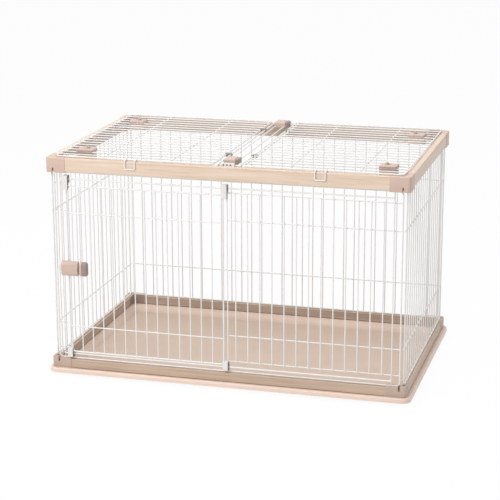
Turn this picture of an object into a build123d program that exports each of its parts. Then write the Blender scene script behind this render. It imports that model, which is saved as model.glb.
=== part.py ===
from build123d import *
from math import cos, radians, sin
import os

# Wooden-rail dog playpen: a floor tray, a frame of eight rails in eight corner mouldings,
# welded wire panels, a sliding door with its latch, and a wire roof in two lifting halves.
# Millimetres. X runs along the front, the front faces -Y, and Z = 0 is the tray's underside.

# Driving sizes
pen_length = 930.0
pen_width = 600.0
frame_height = 554.0
tray_margin = 10.0
tray_height = 20.0

# Tray
lip_height = 12.0
lip_bevel = 3.0
lip_width = 32.0
tray_wall = 3.0
slope_run = 20.0
tray_corner = 24.0

# Rails and corner mouldings
rail_thick = 18.0
top_rail_high = 34.0
foot_rail_high = 24.0
rail_round = 2.0
corner_leg = 52.0
corner_proud = 1.0
corner_overlap = 3.0
corner_round = 8.0
corner_bevel = 1.2
inner_round = 3.0
tenon_thick = 9.0
tenon_inset = 5.0
tenon_length = 22.0
tenon_bevel = 1.5
fit_gap = 0.15
keyhole_depth = 12.0
slot_play = 0.25

# Wire
frame_wire = 4.0
grid_wire = 3.0
wire_bend = 9.0
wire_sides = 8
bend_steps = 3
grid_pitch = 31.0
run_gap = 0.3
cut_past = 1.0
frame_inset_x = 19.0
frame_inset_y = 17.0

# Heights above the rails' underside
low_band = 119.5
high_band = 418.0
guide_rise = 12.5
guide_drop = 17.0
grid_foot = 52.0
grid_head = 487.5

# Front opening
left_post = -431.0
right_post = 425.0
jamb_left = -415.0
jamb_right = 7.6
fixed_first = 28.5
fixed_count = 13

# Door
door_left = -409.0
door_right = -2.0
door_wires = 13
door_foot = 45.0
door_head = 483.5
door_low_band = 114.6
door_high_band = 413.8
door_clearance = 1.5
clip_width = 14.0
clip_below = 9.0
clip_above = 9.0
clip_front = 8.0
clip_back = 8.0
clip_under = 1.5
clip_clear = 1.0
clip_gap = 0.35
clip_round = 1.5

# Door latch
latch_length = 44.0
latch_height = 38.0
latch_depth = 13.0
latch_middle = 269.0
latch_left = -428.0
latch_wall = 1.6
latch_bevel = 7.0
latch_travel = 3.5
pull_length = 21.0
pull_cap = 14.0
bolt_high = 7.0
bolt_deep = 4.0
hook_thick = 2.4
hook_high = 7.0
hook_pin = 2.4
hook_boss = 1.2
hook_turn = 15.0
hook_back = 5.0
hook_clear = 0.9
pin_inset = 14.0
pin_past = 3.0
pin_gap = 0.08
pull_under = 1.0
pull_round = 2.5
pull_root = 2.0
seam_wide = 1.2
seam_deep = 2.2

# Roof
roof_left = -440.0
roof_right = 446.0
roof_side = 286.0
roof_pitch = 30.5
left_edge = -29.0
left_axis = -17.0
inner_left = -4.0
inner_right = 20.0
right_axis = 41.0
right_edge = 50.0
cross_wires = {"left": (-318.0, -140.0), "right": (165.0, 338.0)}
hinge_clip_wide = 9.0
hinge_clip_row = 5.5
hinge_clip_wall = 1.8
hinge_clip_flat = 0.3

# Roof locks
lock_length = 44.0
lock_cap_width = 36.0
lock_cap_height = 6.0
lock_side_gap = 0.2
lock_wall = 2.6
lock_corner = 2.0
lock_bevel = 2.0
lock_rows = (-7.5, 5.5)
lock_end = {"left": -402.0, "right": 420.0}
lock_bolt = 5.0
lock_bolt_drop = 8.0
bolt_bevel = 0.6
lock_travel = 10.0
bolt_free = 0.8
bolt_play = 0.4
stem_size = 3.6
knob_size = 9.0
knob_high = 4.5
knob_bevel = 1.2

# Centre latches
centre_left = -7.0
centre_length = 30.5
centre_width = 36.0
centre_height = 15.0
centre_bevel = 3.0
centre_rows = {"front": -252.0, "back": 246.0}
centre_pull = 7.0
centre_pull_round = 2.0
centre_under = 1.0
centre_sunk = 1.0
centre_tongue = 12.0
tongue_high = 4.0
tie_wire_at = 277.0
saddle_length = 36.0
saddle_depth = 9.0
saddle_height = 8.5
saddle_round = 3.0
saddle_hole = 4.2
saddle_hole_deep = 3.0

# Rail hooks of the roof
hook_span = 29.0
hook_drop = 18.0
hook_wire = 3.0
hook_bend = 3.5
hook_places = {"left": -240.0, "right": 244.0}
hook_eye = 3.1
eye_bite = 0.5
roof_rest = 0.5

# Worked out from the sizes above
base = tray_height
half_length = pen_length / 2
half_width = pen_width / 2
rail_out_x = half_length - corner_proud
rail_out_y = half_width - corner_proud
side_plane = rail_out_x - rail_thick / 2
face_plane = rail_out_y - rail_thick / 2
frame_top = base + frame_height
head_rail = frame_top - top_rail_high
foot_rail = base + foot_rail_high
frame_r = frame_wire / 2
grid_r = grid_wire / 2
panel_foot = foot_rail + frame_r
panel_head = head_rail - frame_r
frame_x = half_length - frame_inset_x
frame_y = half_width - frame_inset_y
guide_y = -face_plane - grid_r - frame_r
guide_low = panel_foot + guide_rise
guide_high = panel_head - guide_drop
door_y = -face_plane - grid_r - door_clearance - frame_r
roof_z = frame_top + corner_proud + roof_rest + frame_r
roof_grid_z = roof_z + frame_r + grid_r
roof_cross_z = roof_grid_z - 2 * grid_r
roof_rows = 1 + 2 * int((roof_side - wire_bend) // roof_pitch)
latch_back = door_y - frame_r
latch_front = latch_back - latch_depth
hook_y = latch_back - hook_back
bolt_z = frame_top - lock_bolt_drop
back_wires = 2 * int(frame_x // grid_pitch) + 1
side_wires = round(2 * frame_y / grid_pitch) - 1


def rod(start, end, radius):
    """A straight round bar: pins, bolts, hinge wires and bores."""
    line = Vector(*end) - Vector(*start)
    return Solid.make_cylinder(radius, line.length, Plane(origin=start, z_dir=line))


def block(x0, x1, y0, y1, z0, z1):
    """A plain block between two values on each axis."""
    return Pos((x0 + x1) / 2, (y0 + y1) / 2, (z0 + z1) / 2) * Box(x1 - x0, y1 - y0, z1 - z0)


def wire_section(plane, radius):
    """A wire's section with eight flats, so that crossing wires meet flat to flat."""
    return plane * RegularPolygon(radius, wire_sides, major_radius=False, rotation=180 / wire_sides)


def wire(start, end, radius):
    """A straight wire."""
    line = Vector(*end) - Vector(*start)
    return extrude(wire_section(Plane(origin=start, z_dir=line), radius), line.length)


def quarter_bend(centre, start, normal, bend, radius):
    """A wire's quarter turn about a centre, from one direction, by the right-hand rule.

    It is a run of short straight wires, each cut square to its end arms.
    """
    share = 90 / bend_steps
    run = (bend + radius) * sin(radians(share))
    bends = []
    for step in range(bend_steps):
        mid = start.rotate(Axis((0, 0, 0), normal), share * (step + 0.5))
        seat = Plane(origin=Vector(*centre) + mid * bend * cos(radians(share / 2)),
                     x_dir=mid, z_dir=normal.cross(mid))
        piece = extrude(wire_section(seat, radius), run, both=True)
        for turn in (-share / 2, share / 2):
            arm = mid.rotate(Axis((0, 0, 0), normal), turn)
            cut = Plane(origin=centre, x_dir=arm, z_dir=normal.cross(arm))
            piece = split(piece, cut, keep=Keep.TOP if turn < 0 else Keep.BOTTOM)
        bends.append(piece)
    return bends[0].fuse(*bends[1:])


def wire_loop(plane, u0, u1, v0, v1, radius, bend, straight):
    """A bent frame wire: four straight runs and four quarter bends, end face to end face."""

    def at(u, v):
        return plane.from_local_coords(Vector(u, v, 0))

    solids = [
        straight(at(u0 + bend, v0), at(u1 - bend, v0), radius),
        straight(at(u0 + bend, v1), at(u1 - bend, v1), radius),
        straight(at(u0, v0 + bend), at(u0, v1 - bend), radius),
        straight(at(u1, v0 + bend), at(u1, v1 - bend), radius),
    ]
    corners = ((u1 - bend, v1 - bend, plane.x_dir), (u0 + bend, v1 - bend, plane.y_dir),
               (u0 + bend, v0 + bend, -plane.x_dir), (u1 - bend, v0 + bend, -plane.y_dir))
    for u, v, start in corners:
        solids.append(quarter_bend(at(u, v), start, plane.z_dir, bend, radius))
    return solids


def spread(first, last, count):
    """Evenly spaced places strictly between two outer ones."""
    step = (last - first) / (count + 1)
    return [first + step * (k + 1) for k in range(count)]


def write(name, shapes):
    """One named node from one solid or a list of them."""
    solids = ShapeList(shapes).solids() if isinstance(shapes, list) else shapes.solids()
    node = solids[0] if len(solids) == 1 else Compound(children=solids)
    node.label = name
    export_step(node, f"parts/{name}.step")


def mirrored(shape, right, back):
    """The shape drawn in the back right quarter, moved to the quarter that is asked for."""
    if not right:
        shape = mirror(shape, Plane.YZ)
    if not back:
        shape = mirror(shape, Plane.XZ)
    return shape


def outward(side):
    return -1 if side == "left" else 1


def lock_span(side):
    """Low and high X of the roof locks on one half."""
    end = lock_end[side]
    return tuple(sorted((end, end - outward(side) * lock_length)))


def knob_x(side):
    """Where a bolt's knob stands when the bolt is drawn back."""
    return sum(lock_span(side)) / 2 - outward(side) * lock_travel / 2


def bored_rail(short_rail):
    """The right top rail with the two holes that the roof bolts shoot into."""
    inner = rail_out_x - rail_thick
    for row in lock_rows:
        y = row * roof_pitch
        end = inner + lock_travel + cut_past
        short_rail -= rod((inner - cut_past, y, bolt_z), (end, y, bolt_z), lock_bolt / 2 + bolt_play)
    return short_rail


def floor_tray():
    long = pen_length + 2 * tray_margin
    wide = pen_width + 2 * tray_margin
    open_long = long - 2 * lip_width
    open_wide = wide - 2 * lip_width
    rim = extrude(RectangleRounded(long, wide, tray_corner), lip_height)
    rim = Pos(0, 0, base - lip_height) * rim
    rim = chamfer(rim.faces().sort_by(Axis.Z)[-1].outer_wire().edges(), lip_bevel)
    hollow = RectangleRounded(long - 2 * tray_wall, wide - 2 * tray_wall, tray_corner - tray_wall)
    rim -= Pos(0, 0, base - lip_height) * extrude(hollow, lip_height - tray_wall)

    def pan(grow, low, high):
        small = RectangleRounded(open_long - 2 * slope_run + grow, open_wide - 2 * slope_run + grow,
                                 tray_corner)
        large = RectangleRounded(open_long + grow, open_wide + grow, tray_corner + slope_run)
        return loft([Pos(0, 0, low) * small, Pos(0, 0, high) * large])

    tray = rim + pan(2 * tray_wall, 0, base - tray_wall) - pan(0, tray_wall, base)
    return tray


def rail(half_span, along_x, low, high):
    """A rail with its two tenons; it lies on the back or right side until mirrored."""
    middle = (low + high) / 2
    reach = half_span - corner_leg
    bar = Box(2 * reach, rail_thick, high - low)
    bar = fillet(bar.edges().filter_by(Axis.X), rail_round)
    tenon = Box(2 * (reach + tenon_length), tenon_thick, high - low - 2 * tenon_inset)
    whole = bar + chamfer(tenon.faces().filter_by(Axis.X).edges(), tenon_bevel)
    if along_x:
        return Pos(0, face_plane, middle) * whole
    return Pos(side_plane, 0, middle) * Rot(0, 0, 90) * whole


def corner_piece(top):
    """The moulding of the back right corner."""
    rail_low = head_rail if top else base
    rail_high = frame_top if top else foot_rail
    low = rail_low - corner_overlap if top else rail_low
    high = rail_high + corner_proud if top else rail_high + corner_overlap
    mid = (rail_low + rail_high) / 2
    leg = rail_thick + 2 * corner_proud
    body = block(half_length - corner_leg, half_length, half_width - leg, half_width, low, high)
    body += block(half_length - leg, half_length, half_width - corner_leg, half_width, low, high)
    upright = body.edges().filter_by(Axis.Z)
    outer = upright.sort_by(lambda e: e.center().X + e.center().Y)[-1]
    body = fillet(outer, corner_round)
    inner = [e for e in body.edges().filter_by(Axis.Z)
             if abs(e.center().X - (half_length - leg)) < 0.01
             and abs(e.center().Y - (half_width - leg)) < 0.01]
    body = fillet(inner, inner_round)
    bevel_face = body.faces().sort_by(Axis.Z)[-1 if top else 0]
    if top:
        body = chamfer(bevel_face.outer_wire().edges(), corner_bevel)

    slack = 2 * fit_gap
    tenon_high = rail_high - rail_low - 2 * tenon_inset + slack
    pocket = tenon_length + fit_gap
    for along_x in (True, False):
        span = half_length if along_x else half_width
        start = span - corner_leg
        wide = tenon_thick + slack
        plane = face_plane if along_x else side_plane
        socket = ((start, start + pocket), (plane - wide / 2, plane + wide / 2))
        x, y = socket if along_x else socket[::-1]
        body -= block(*x, *y, mid - tenon_high / 2, mid + tenon_high / 2)

        # Channel and keyhole that take the panel's frame wire
        half_slot = frame_r + slot_play
        wire_at = frame_x if along_x else frame_y
        depth = (low, rail_low + fit_gap) if top else (rail_high - fit_gap, high)
        groove = ((start, wire_at + half_slot), (plane - half_slot, plane + half_slot))
        x, y = groove if along_x else groove[::-1]
        body -= block(*x, *y, *depth)
        face = half_width if along_x else half_length
        reach = (low, low + keyhole_depth) if top else (high - keyhole_depth, high)
        slot = ((wire_at - half_slot, wire_at + half_slot), (plane - half_slot, face))
        x, y = slot if along_x else slot[::-1]
        body -= block(*x, *y, *reach)
    return body


def panel_grid(plane, half_span, count, bands):
    """A full wire panel: frame loop, upright wires and two cross bands behind them."""
    wires = wire_loop(plane, -half_span, half_span, panel_foot, panel_head, frame_r, wire_bend, wire)

    def at(u, v, w):
        return plane.from_local_coords(Vector(u, v, w))

    for u in spread(-half_span, half_span, count):
        wires.append(wire(at(u, panel_foot + frame_r, 0), at(u, panel_head - frame_r, 0), grid_r))
    inside = -2 * grid_r - (frame_r - grid_r)
    for v in bands:
        wires.append(wire(at(-half_span, v, inside), at(half_span, v, inside), grid_r))
    return wires


def front_panel():
    """The fixed part of the front: outer loop, door guides, jambs and the right half's grid."""
    plane = Plane(origin=(0, -face_plane, 0), x_dir=(1, 0, 0), z_dir=(0, -1, 0))
    wires = wire_loop(plane, -frame_x, frame_x, panel_foot, panel_head, frame_r, wire_bend, wire)
    y = -face_plane
    band_y = y + 2 * grid_r + (frame_r - grid_r)
    for x in (left_post, right_post):
        wires.append(wire((x, y, panel_foot + frame_r), (x, y, panel_head - frame_r), grid_r))
    for z in (guide_low, guide_high):
        wires.append(rod((left_post, guide_y, z), (right_post, guide_y, z), frame_r))
    for x in [jamb_left, jamb_right] + [fixed_first + grid_pitch * k for k in range(fixed_count)]:
        wires.append(wire((x, y, base + grid_foot - grid_r), (x, y, base + grid_head + grid_r), grid_r))
    for z in (base + grid_foot, base + low_band, base + high_band, base + grid_head):
        wires.append(wire((jamb_right - grid_r, band_y, z), (frame_x, band_y, z), grid_r))
        wires.append(wire((-frame_x, band_y, z), (jamb_left + grid_r, band_y, z), grid_r))
    return wires


def door_panel():
    plane = Plane(origin=(0, door_y, 0), x_dir=(1, 0, 0), z_dir=(0, -1, 0))
    wires = wire_loop(plane, door_left, door_right, base + door_foot, base + door_head, frame_r,
                      wire_bend, wire)
    grid_y = door_y - frame_r + grid_r
    for x in spread(door_left, door_right, door_wires):
        wires.append(wire((x, grid_y, base + door_foot + frame_r),
                         (x, grid_y, base + door_head - frame_r), grid_r))
    for z in (door_low_band, door_high_band):
        wires.append(wire((door_left, door_y - frame_r - grid_r, base + z),
                         (door_right, door_y - frame_r - grid_r, base + z), grid_r))
    return wires


def door_clip(wire_x, side, lower):
    """A glider round the guide wire that grips the door's upright frame wire."""
    x0, x1 = sorted((wire_x - side * frame_r, wire_x + side * (clip_width - frame_r)))
    guide = guide_low if lower else guide_high
    sign = 1 if lower else -1
    foot = guide - sign * clip_below
    head = base + (door_foot if lower else door_head) + sign * clip_above
    shelf = base + (grid_foot if lower else grid_head) - sign * (grid_r + clip_under)
    rear = -face_plane - grid_r - clip_clear
    front = block(x0, x1, guide_y - clip_front, rear, *sorted((foot, head)))
    front = fillet(front.edges().filter_by(Axis.X).group_by(Axis.Y)[0], clip_round)
    body = front + block(x0, x1, rear - cut_past, guide_y + clip_back, *sorted((foot, shelf)))
    body -= rod((x0 - cut_past, guide_y, guide), (x1 + cut_past, guide_y, guide), frame_r + clip_gap)
    turn = base + (door_foot if lower else door_head) - sign * frame_r
    notch = sorted((wire_x - side * clip_width, wire_x + side * frame_r))
    body -= block(*notch, door_y - frame_r, door_y + clip_width, *sorted((turn, head + sign * cut_past)))
    return body


def latch_box(x0, x1, height, depth):
    """A bar along X behind the wires' front plane, with both of its front edges bevelled."""
    half = height / 2
    inset = half - latch_bevel
    outline = Polyline((0, -half), (0, half), (depth - latch_bevel, half), (depth, inset),
                       (depth, -inset), (depth - latch_bevel, -half), close=True)
    back = Plane(origin=(x0, latch_back, base + latch_middle), x_dir=(0, -1, 0), z_dir=(-1, 0, 0))
    return extrude(back * make_face(outline), x1 - x0, dir=(1, 0, 0))


def latch_housing():
    right = latch_left + latch_length
    mid = base + latch_middle
    room = hook_high / 2 + run_gap
    body = latch_box(latch_left, right, latch_height, latch_depth)
    body -= block(latch_left, right, latch_front + latch_wall, latch_back - latch_wall,
                  mid - room, mid + room)
    return body - latch_pin()


def latch_pin():
    mid = base + latch_middle
    reach = hook_high / 2 + run_gap + pin_past
    x = latch_left + pin_inset
    return rod((x, hook_y, mid - reach), (x, hook_y, mid + reach), hook_pin / 2)


def latch_pull():
    """Grip with a rounded cap and the bolt that works the hook."""
    right = latch_left + latch_length
    mid = base + latch_middle
    start = right + latch_travel + run_gap
    grip = latch_box(start, start + pull_length, latch_height - pull_under, latch_depth - pull_under)
    grip = fillet(grip.faces().sort_by(Axis.X)[-1].edges(), pull_round)
    seam = start + pull_length - pull_cap
    grip -= block(seam, seam + seam_wide, latch_front, latch_front + seam_deep,
                  mid - latch_height, mid + latch_height)
    nose = latch_left + pin_inset + hook_pin / 2 + hook_boss + latch_travel + run_gap
    bolt = block(nose, start + pull_root, hook_y - bolt_deep / 2, hook_y + bolt_deep / 2,
                 mid - bolt_high / 2, mid + bolt_high / 2)
    return grip + bolt


def latch_hook():
    """The hook turns on its pin and drops its barb behind the post; it is drawn swung clear."""
    mid = base + latch_middle
    low = mid - hook_high / 2
    high = mid + hook_high / 2
    pin_x = latch_left + pin_inset
    tip = left_post - grid_r - hook_clear - hook_thick
    arm = block(tip, pin_x, hook_y - hook_thick / 2, hook_y + hook_thick / 2, low, high)
    barb = block(tip, tip + hook_thick, hook_y, -face_plane + grid_r, low, high)
    boss = rod((pin_x, hook_y, low), (pin_x, hook_y, high), hook_pin / 2 + hook_boss)
    hook = arm + barb + boss
    hook -= rod((pin_x, hook_y, low - cut_past), (pin_x, hook_y, high + cut_past), hook_pin / 2 + pin_gap)
    return hook.rotate(Axis((pin_x, hook_y, 0), (0, 0, 1)), hook_turn)


def roof_half(side):
    """One half's wire grid."""
    x0, x1 = (roof_left, left_edge) if side == "left" else (right_edge, roof_right)
    plane = Plane(origin=((x0 + x1) / 2, 0, roof_z), x_dir=(1, 0, 0), z_dir=(0, 0, 1))
    half = (x1 - x0) / 2
    wires = wire_loop(plane, -half, half, -roof_side, roof_side, frame_r, wire_bend, rod)
    for k in range(roof_rows):
        y = (k - (roof_rows - 1) / 2) * roof_pitch
        wires.append(wire((x0 - frame_r, y, roof_grid_z), (x1 + frame_r, y, roof_grid_z), grid_r))
    for x in cross_wires[side]:
        wires.append(wire((x, -roof_side + frame_r, roof_cross_z),
                         (x, roof_side - frame_r, roof_cross_z), grid_r))
    return wires


def roof_centre():
    """The fixed strip between the halves: two hinge wires, two thin wires and their ties."""
    wires = []
    thin_z = roof_z - frame_r + grid_r
    for x in (left_axis, right_axis):
        wires.append(rod((x, -roof_side, roof_z), (x, roof_side, roof_z), frame_r))
    for x in (inner_left, inner_right):
        wires.append(rod((x, -roof_side, thin_z), (x, roof_side, thin_z), grid_r))
    for y in (-tie_wire_at, tie_wire_at):
        z = roof_z - frame_r - grid_r
        wires.append(wire((left_axis - frame_r, y, z), (right_axis + frame_r, y, z), grid_r))
    return wires


def hinge_clips(axis_x, edge_x):
    """Two straps that turn on the strip's wire and grip the half's inner frame wire."""
    clips = []
    for y in (-hinge_clip_row * roof_pitch, hinge_clip_row * roof_pitch):
        outer = frame_r + hinge_clip_wall
        mid_x = (axis_x + edge_x) / 2
        strap = Box(abs(edge_x - axis_x) + 2 * outer, hinge_clip_wide, 2 * outer)
        strap = fillet(strap.edges().filter_by(Axis.Y), outer - hinge_clip_flat)
        strap = Pos(mid_x, y, roof_z) * strap
        ends = (y - hinge_clip_wide, y + hinge_clip_wide)
        strap -= rod((axis_x, ends[0], roof_z), (axis_x, ends[1], roof_z), frame_r + fit_gap)
        strap -= rod((edge_x, ends[0], roof_z), (edge_x, ends[1], roof_z), frame_r)
        clips.append(strap)
    return clips


def roof_lock(side, y):
    """A lock that drops between two grid wires and clips on them with its wider cap."""
    x0, x1 = lock_span(side)
    seat = roof_grid_z + grid_r
    low = bolt_z - lock_bolt / 2 - lock_wall
    half = roof_pitch / 2 - grid_r - lock_side_gap
    body = block(x0, x1, y - half, y + half, low, seat)
    body = chamfer(body.edges().filter_by(Axis.Z), lock_corner)
    cap = block(x0, x1, y - lock_cap_width / 2, y + lock_cap_width / 2, seat, seat + lock_cap_height)
    cap = chamfer(cap.edges().filter_by(Axis.Z), lock_corner)
    cap = chamfer(cap.faces().sort_by(Axis.Z)[-1].outer_wire().edges(), lock_bevel)
    body += cap
    body -= rod((x0 - cut_past, y, bolt_z), (x1 + cut_past, y, bolt_z), lock_bolt / 2 + fit_gap)
    start, end = sorted((knob_x(side), knob_x(side) + outward(side) * lock_travel))
    slot = stem_size / 2 + run_gap
    top = seat + lock_cap_height + cut_past
    return body - block(start - slot, end + slot, y - slot, y + slot, bolt_z, top)


def lock_bolt_piece(side, y):
    """The steel bolt and its knob, drawn back so that its tip just clears the side rail."""
    seat = roof_grid_z + grid_r
    sign = outward(side)
    tip = sign * (rail_out_x - rail_thick - bolt_free)
    tail = knob_x(side) - sign * knob_size / 2
    bolt = rod((tail, y, bolt_z), (tip, y, bolt_z), lock_bolt / 2)
    bolt = chamfer(bolt.edges().filter_by(GeomType.CIRCLE).sort_by(Axis.X)[-1 if sign > 0 else 0],
                   bolt_bevel)
    top = seat + lock_cap_height + run_gap
    half = stem_size / 2
    stem = block(knob_x(side) - half, knob_x(side) + half, y - half, y + half, bolt_z, top + cut_past)
    knob = rod((knob_x(side), y, top), (knob_x(side), y, top + knob_high), knob_size / 2)
    knob = chamfer(knob.edges().filter_by(GeomType.CIRCLE).sort_by(Axis.Z)[-1], knob_bevel)
    return bolt + stem + knob


def centre_latch(y):
    """Housing of a centre latch; it grips the strip's two thin wires."""
    low = roof_z - frame_r - centre_sunk
    right = centre_left + centre_length
    body = block(centre_left, right, y - centre_width / 2, y + centre_width / 2,
                 low, low + centre_height)
    body = chamfer(body.faces().sort_by(Axis.Z)[-1].outer_wire().edges(), centre_bevel)
    thin_z = roof_z - frame_r + grid_r
    for x in (inner_left, inner_right):
        body -= rod((x, y - centre_width, thin_z), (x, y + centre_width, thin_z), grid_r)
    half = centre_tongue / 2 + run_gap
    return body - block(right - centre_tongue - run_gap, right, y - half, y + half, *tongue_heights(run_gap))


def tongue_heights(grow):
    """Low and high face of a centre latch's tongue, above the thin wires."""
    low = roof_z - frame_r + 2 * grid_r + centre_sunk
    return low - grow, low + tongue_high + grow


def centre_pull_piece(y):
    """The pull of a centre latch with its tongue."""
    start = centre_left + centre_length + run_gap
    low = roof_z - frame_r
    half = centre_width / 2 - centre_under
    high = low + centre_height - centre_sunk - centre_under
    pull = block(start, start + centre_pull, y - half, y + half, low, high)
    pull = fillet(pull.faces().sort_by(Axis.X)[-1].edges(), centre_pull_round)
    return pull + block(start - centre_tongue, start + cut_past, y - centre_tongue / 2,
                        y + centre_tongue / 2, *tongue_heights(0))


def strip_saddle(back):
    """The moulded seat of the centre strip on a long rail, with three round holes in its face."""
    sign = 1 if back else -1
    inner = sign * (rail_out_y - rail_thick)
    outer = inner + sign * saddle_depth
    middle = (inner_left + inner_right) / 2
    x0 = middle - saddle_length / 2
    body = block(x0, x0 + saddle_length, *sorted((inner, outer)), frame_top, frame_top + saddle_height)
    body = fillet(body.edges().filter_by(Axis.Y).group_by(Axis.Z)[-1], saddle_round)
    thin_z = roof_z - frame_r + grid_r
    for x in (inner_left, inner_right):
        body -= rod((x, inner - sign * cut_past, thin_z), (x, sign * roof_side, thin_z), grid_r)
    for k in (-1, 0, 1):
        x = middle + k * saddle_length / 4
        z = frame_top + saddle_height / 2
        body -= wire((x, outer, z), (x, outer - sign * saddle_hole_deep, z), saddle_hole / 2)
    return body


def rail_hook(side, back):
    """A wire bail whose eyes turn on the half's frame wire and which drops over the rail."""
    r = hook_wire / 2
    out = Vector(0, 1 if back else -1, 0)
    along = Vector(1, 0, 0)
    down = Vector(0, 0, -1)
    out_y = half_width + run_gap + r
    low = frame_top - hook_drop
    half = hook_span / 2 - r
    middle = along * hook_places[side]
    hook = None
    for sign in (-1, 1):
        x = middle + along * (sign * half)
        eye_at = x + out * roof_side + Vector(0, 0, roof_z)
        knee = x + out * (out_y - hook_bend) + Vector(0, 0, roof_z - hook_bend)
        foot = x - along * (sign * hook_bend) + out * out_y + Vector(0, 0, low + hook_bend)
        piece = wire(eye_at - along * r, eye_at + along * r, hook_eye)
        piece += wire(eye_at + out * (hook_eye - eye_bite), knee - down * hook_bend, r)
        piece += quarter_bend(knee, -down, (-down).cross(out), hook_bend, r)
        piece += wire(knee + out * hook_bend, foot + along * (sign * hook_bend), r)
        piece += quarter_bend(foot, along * sign, (along * sign).cross(down), hook_bend, r)
        piece += wire(foot + down * hook_bend, middle + out * out_y + Vector(0, 0, low), r)
        piece -= rod(eye_at - along * r * 2, eye_at + along * r * 2, frame_r + fit_gap)
        hook = piece if hook is None else hook + piece
    return hook


def make_parts():
    os.makedirs("parts", exist_ok=True)
    write("floor_tray", floor_tray())
    for level, low, high in (("foot", base, foot_rail), ("top", head_rail, frame_top)):
        long_rail = rail(half_length, True, low, high)
        write(f"{level}_rail_back", long_rail)
        write(f"{level}_rail_front", mirror(long_rail, Plane.XZ))
        short_rail = rail(half_width, False, low, high)
        if level == "top":
            short_rail = bored_rail(short_rail)
        write(f"{level}_rail_right", short_rail)
        write(f"{level}_rail_left", mirror(short_rail, Plane.YZ))
        corner = corner_piece(level == "top")
        for side in ("left", "right"):
            for end in ("front", "back"):
                write(f"{level}_corner_{end}_{side}", mirrored(corner, side == "right", end == "back"))

    bands = (base + low_band, base + high_band)
    write("front_panel", front_panel())
    back = Plane(origin=(0, face_plane, 0), x_dir=(-1, 0, 0), z_dir=(0, 1, 0))
    write("back_panel", panel_grid(back, frame_x, back_wires, bands))
    for side, sign in (("left", -1), ("right", 1)):
        plane = Plane(origin=(sign * side_plane, 0, 0), x_dir=(0, sign, 0), z_dir=(sign, 0, 0))
        write(f"{side}_panel", panel_grid(plane, frame_y, side_wires, bands))

    write("door_panel", door_panel())
    write("door_clips", [door_clip(x, side, lower) for x, side in ((door_left, -1), (door_right, 1))
                         for lower in (True, False)])
    write("latch_housing", latch_housing())
    write("latch_pin", latch_pin())
    write("latch_pull", latch_pull())
    write("latch_hook", latch_hook())

    write("roof_centre_wires", roof_centre())
    for end in ("front", "back"):
        write(f"centre_saddle_{end}", strip_saddle(end == "back"))
        write(f"centre_latch_{end}", centre_latch(centre_rows[end]))
        write(f"centre_pull_{end}", centre_pull_piece(centre_rows[end]))
    for side, axis_x, edge_x in (("left", left_axis, left_edge), ("right", right_axis, right_edge)):
        write(f"roof_grid_{side}", roof_half(side))
        write(f"hinge_clips_{side}", hinge_clips(axis_x, edge_x))
        for end, row in zip(("front", "back"), lock_rows):
            write(f"roof_lock_{end}_{side}", roof_lock(side, row * roof_pitch))
            write(f"roof_bolt_{end}_{side}", lock_bolt_piece(side, row * roof_pitch))
            write(f"rail_hook_{end}_{side}", rail_hook(side, end == "back"))


make_parts()
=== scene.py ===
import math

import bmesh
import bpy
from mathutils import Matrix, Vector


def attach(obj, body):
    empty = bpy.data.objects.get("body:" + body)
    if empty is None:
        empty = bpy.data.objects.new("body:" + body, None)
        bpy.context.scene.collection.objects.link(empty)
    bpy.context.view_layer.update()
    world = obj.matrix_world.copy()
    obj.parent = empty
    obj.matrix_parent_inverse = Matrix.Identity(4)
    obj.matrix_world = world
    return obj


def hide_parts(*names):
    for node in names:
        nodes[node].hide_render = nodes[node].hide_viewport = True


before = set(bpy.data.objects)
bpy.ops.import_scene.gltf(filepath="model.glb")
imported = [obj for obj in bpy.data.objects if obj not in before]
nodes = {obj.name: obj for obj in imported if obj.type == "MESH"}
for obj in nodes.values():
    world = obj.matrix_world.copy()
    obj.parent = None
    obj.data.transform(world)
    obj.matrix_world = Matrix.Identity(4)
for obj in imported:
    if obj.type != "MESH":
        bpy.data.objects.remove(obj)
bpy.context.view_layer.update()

# %% [markdown]
# A dog playpen with wood-look rails, dressed around its CAD model. The CAD nodes are already the
# right shapes for the rails, the tray, the bolts and the hooks, so those only get their finish. The
# wire panels are built anew, because the solids have wires with eight flats and no welds, while the
# real ones are round and fused where they cross. The mouldings get rounded edges, the latch pull
# gets its round cap, and the two seats of the roof strip get their screws.

MM = 0.001


def linked(name, data):
    """A new object in the scene."""
    made = bpy.data.objects.new(name, data)
    bpy.context.scene.collection.objects.link(made)
    return made


def final_mesh(thing):
    """The mesh of an object with its modifiers applied."""
    return bpy.data.meshes.new_from_object(
        thing.evaluated_get(bpy.context.evaluated_depsgraph_get()))


def smooth(mesh):
    for face in mesh.polygons:
        face.use_smooth = True


# %% [markdown]
# Camera first: every later choice is judged through it. The place, angle and lens were fitted to
# the corners, rails and wires in the photograph. The camera is nearly level, about 15 degrees above
# and 15 degrees to the right of straight on.

# %% Camera
AZIMUTH, ELEVATION, ROLL = (math.radians(a) for a in (15.427, 15.292, -0.192))
CAMERA_PLACE = (1.0934, -4.0140, 1.4237)
SENSOR_WIDTH, FOCAL_LENGTH, FAR_LIMIT = 36.0, 116.86, 100.0

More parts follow.
